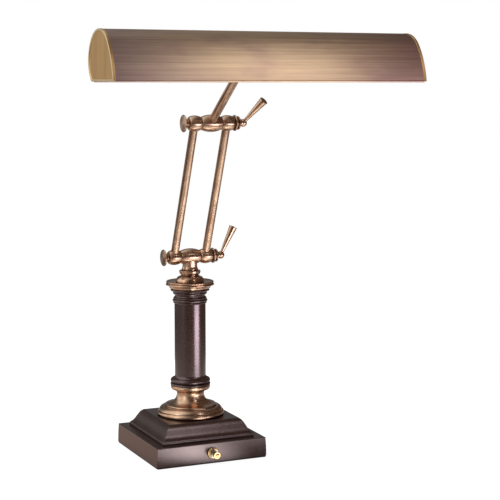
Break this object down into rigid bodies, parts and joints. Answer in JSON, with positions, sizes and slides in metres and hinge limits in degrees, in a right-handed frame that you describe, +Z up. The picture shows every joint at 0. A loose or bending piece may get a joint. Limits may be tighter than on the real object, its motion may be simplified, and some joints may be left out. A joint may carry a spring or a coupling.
{
  "type": "piano lamp",
  "caption": "Desk piano lamp with a long half-round metal shade on a stem, hinged swing arms with clamping levers, a turned column and a square weighted base with a push switch.",
  "frame": {"origin": "middle of the base's underside, on the table", "axes": "+Z up; -Y towards the front, the way the shade reaches; +X to the right, along the shade and the joint bolts"},
  "size_m": [0.3562, 0.3178, 0.4997],
  "materials": {
    "dark_paint": "satin",
    "antique_bronze": "satin",
    "shade_brass": "satin",
    "end_brass": "satin",
    "switch_brass": "polished",
    "zinc_steel": "satin",
    "black_iron": "matte",
    "felt": "matte",
    "black_plastic": "matte",
    "wire_plastic": "satin",
    "porcelain": "gloss",
    "lamp_cap_metal": "satin",
    "lamp_glass": "gloss"
  },
  "bodies": {
    "base": {"base_block": "dark_paint", "base_cover": "dark_paint", "base_weight": "black_iron", "bottom_plate": "zinc_steel", "plate_screws": "zinc_steel", "felt_pad": "felt", "cord_inlet": "black_plastic", "switch_body": "zinc_steel", "switch_nut": "switch_brass", "button_spring": "zinc_steel", "pipe": "zinc_steel", "pipe_nut_lower": "zinc_steel", "pipe_washer_lower": "zinc_steel", "pipe_nut_upper": "zinc_steel", "bell_foot": "antique_bronze", "column_foot": "dark_paint", "column_shaft": "dark_paint", "column_capital": "dark_paint", "cap_disc": "antique_bronze", "cap_collar": "antique_bronze", "column_wires": "wire_plastic", "swivel_nut": "zinc_steel"},
    "swivel": {"swivel_collar": "antique_bronze", "lower_barrel": "antique_bronze", "lower_bolt": "antique_bronze", "lower_washer": "antique_bronze"},
    "arms": {"lower_knuckle_left": "antique_bronze", "lower_knuckle_right": "antique_bronze", "rod_left": "antique_bronze", "rod_right": "antique_bronze", "rod_wires": "wire_plastic", "upper_knuckle_left": "antique_bronze", "upper_knuckle_right": "antique_bronze"},
    "shade": {"upper_barrel": "antique_bronze", "upper_bolt": "antique_bronze", "upper_washer": "antique_bronze", "shade_stem": "antique_bronze", "stem_wires": "wire_plastic", "stem_collar": "antique_bronze", "shade_hub": "antique_bronze", "shade_nipple": "zinc_steel", "shade_locknut": "zinc_steel", "shade_shell": "shade_brass", "shade_end_left": "end_brass", "shade_end_right": "end_brass", "lamp_bracket": "zinc_steel", "holder_screws": "zinc_steel", "lamp_holder_left": "porcelain", "lamp_holder_right": "porcelain", "lamp_cap_left": "lamp_cap_metal", "lamp_cap_right": "lamp_cap_metal", "lamp_glass_left": "lamp_glass", "lamp_glass_right": "lamp_glass"},
    "lower_lever": {"lower_lever_hub": "antique_bronze", "lower_lever_handle": "antique_bronze"},
    "upper_lever": {"upper_lever_hub": "antique_bronze", "upper_lever_handle": "antique_bronze"},
    "button": {"switch_button": "switch_brass"}
  },
  "joints": [
    {"name": "arm_swivel", "type": "hinge", "parent": "base", "child": "swivel", "pos_m": [0, 0, 0.2145], "axis": [0, 0, 1], "range_deg": [-150, 150]},
    {"name": "lower_hinge", "type": "hinge", "parent": "swivel", "child": "arms", "pos_m": [0, 0, 0.2377], "axis": [1, 0, 0], "range_deg": [-50, 65]},
    {"name": "upper_hinge", "type": "hinge", "parent": "arms", "child": "shade", "pos_m": [0, -0.06697, 0.39938], "axis": [1, 0, 0], "range_deg": [-70, 75]},
    {"name": "lower_lever_turn", "type": "hinge", "parent": "swivel", "child": "lower_lever", "pos_m": [0, 0, 0.2377], "axis": [1, 0, 0], "range_deg": [-75, 75]},
    {"name": "upper_lever_turn", "type": "hinge", "parent": "shade", "child": "upper_lever", "pos_m": [0, -0.06697, 0.39938], "axis": [1, 0, 0], "range_deg": [-75, 75]},
    {"name": "switch_push", "type": "slide", "parent": "base", "child": "button", "axis": [0, 1, 0], "range_m": [0, 0.0025], "stiffness_N_per_m": 800, "springref_m": -0.001, "deforming": ["button_spring"]}
  ]
}
